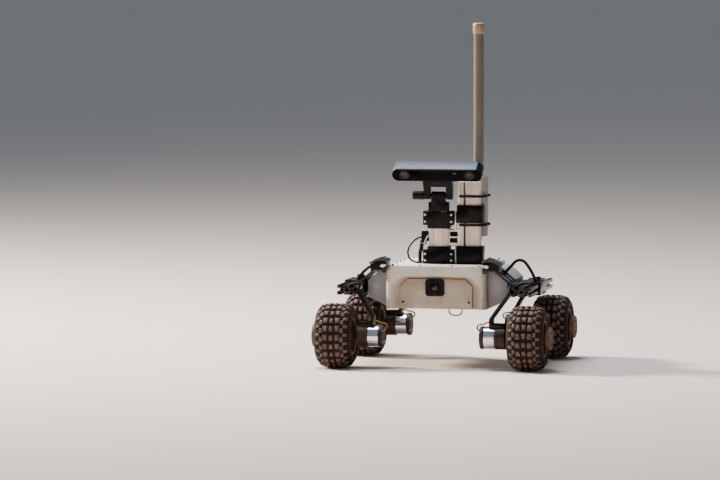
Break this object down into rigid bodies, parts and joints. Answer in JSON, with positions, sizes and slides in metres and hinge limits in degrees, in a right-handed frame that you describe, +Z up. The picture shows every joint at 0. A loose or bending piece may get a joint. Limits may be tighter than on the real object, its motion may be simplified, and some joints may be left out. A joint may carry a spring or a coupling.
{
  "type": "planetary rover prototype",
  "caption": "Small wheeled rover prototype with driven knobbly wheels on rocker bars, a boxy white body, and a grooved mast with a tilting stereo camera and a radio antenna.",
  "frame": {"origin": "on the ground, midway between the wheels", "axes": "+X to the rover's left, -Y forward, +Z up"},
  "size_m": [0.484, 0.4346, 0.686],
  "materials": {
    "bar": "black anodised extrusion",
    "black_metal": "matte black coated bent plate",
    "black_plastic": "matte black moulded plastic",
    "brass": "dull tan plated metal",
    "cable": "black cable jacket",
    "extrusion": "natural anodised extrusion",
    "face": "gloss black window",
    "housing": "bead-blasted grey anodised aluminium",
    "lens": "dark coated glass",
    "motor": "dark satin gearmotor casing",
    "polished": "bright turned steel",
    "radio": "light grey weatherproof plastic",
    "rim": "dusty dark moulded plastic with a grey hub disc",
    "shell": "satin off-white powder coat with fine orange dust",
    "tyre": "dusty rubber with worn knobs"
  },
  "bodies": {
    "chassis": {"antenna_fittings": "brass", "antenna_tube": "radio", "battery_box": "black_plastic", "body_shell": "shell", "cable_ties": "black_plastic", "camera_cable": "cable", "camera_plug": "black_plastic", "clamps_base": "black_plastic", "clamps_top": "black_plastic", "column_camera": "extrusion", "column_radio": "extrusion", "front_camera": "black_plastic", "front_lens": "lens", "front_panel": "shell", "glands": "black_plastic", "legs": "black_metal", "loom_clips": "black_plastic", "loom_left": "cable", "loom_right": "cable", "mast_link": "extrusion", "motor_bands": "polished", "motor_lead_front_left": "cable", "motor_lead_front_right": "cable", "motor_lead_rear_left": "cable", "motor_lead_rear_right": "cable", "motors": "motor", "neck": "black_plastic", "pivots": "black_metal", "power_lead": "cable", "radio_module": "radio", "rocker_bar_left": "bar", "rocker_bar_right": "bar", "saddles": "black_metal", "side_pod_left": "shell", "side_pod_right": "shell", "top_plate": "shell", "underside_loop": "cable", "wing_left": "black_metal", "wing_right": "black_metal"},
    "wheel_front_left": {"tyre_front_left": "tyre", "rim_front_left": "rim"},
    "wheel_front_right": {"tyre_front_right": "tyre", "rim_front_right": "rim"},
    "wheel_rear_left": {"tyre_rear_left": "tyre", "rim_rear_left": "rim"},
    "wheel_rear_right": {"tyre_rear_right": "tyre", "rim_rear_right": "rim"},
    "camera_head": {"stereo_housing": "housing", "stereo_face": "face", "tilt_cradle": "black_plastic", "tilt_pin": "black_plastic"}
  },
  "joints": [
    {"name": "spin_front_left", "type": "hinge", "parent": "chassis", "child": "wheel_front_left", "pos_m": [0.194, -0.1525, 0.065], "axis": [1, 0, 0], "continuous": true},
    {"name": "spin_front_right", "type": "hinge", "parent": "chassis", "child": "wheel_front_right", "pos_m": [-0.194, -0.1525, 0.065], "axis": [1, 0, 0], "continuous": true},
    {"name": "spin_rear_left", "type": "hinge", "parent": "chassis", "child": "wheel_rear_left", "pos_m": [0.194, 0.1525, 0.065], "axis": [1, 0, 0], "continuous": true},
    {"name": "spin_rear_right", "type": "hinge", "parent": "chassis", "child": "wheel_rear_right", "pos_m": [-0.194, 0.1525, 0.065], "axis": [1, 0, 0], "continuous": true},
    {"name": "camera_tilt", "type": "hinge", "parent": "chassis", "child": "camera_head", "pos_m": [-0.0075, -0.04, 0.3404], "axis": [1, 0, 0], "range_deg": [-18, 40]}
  ]
}
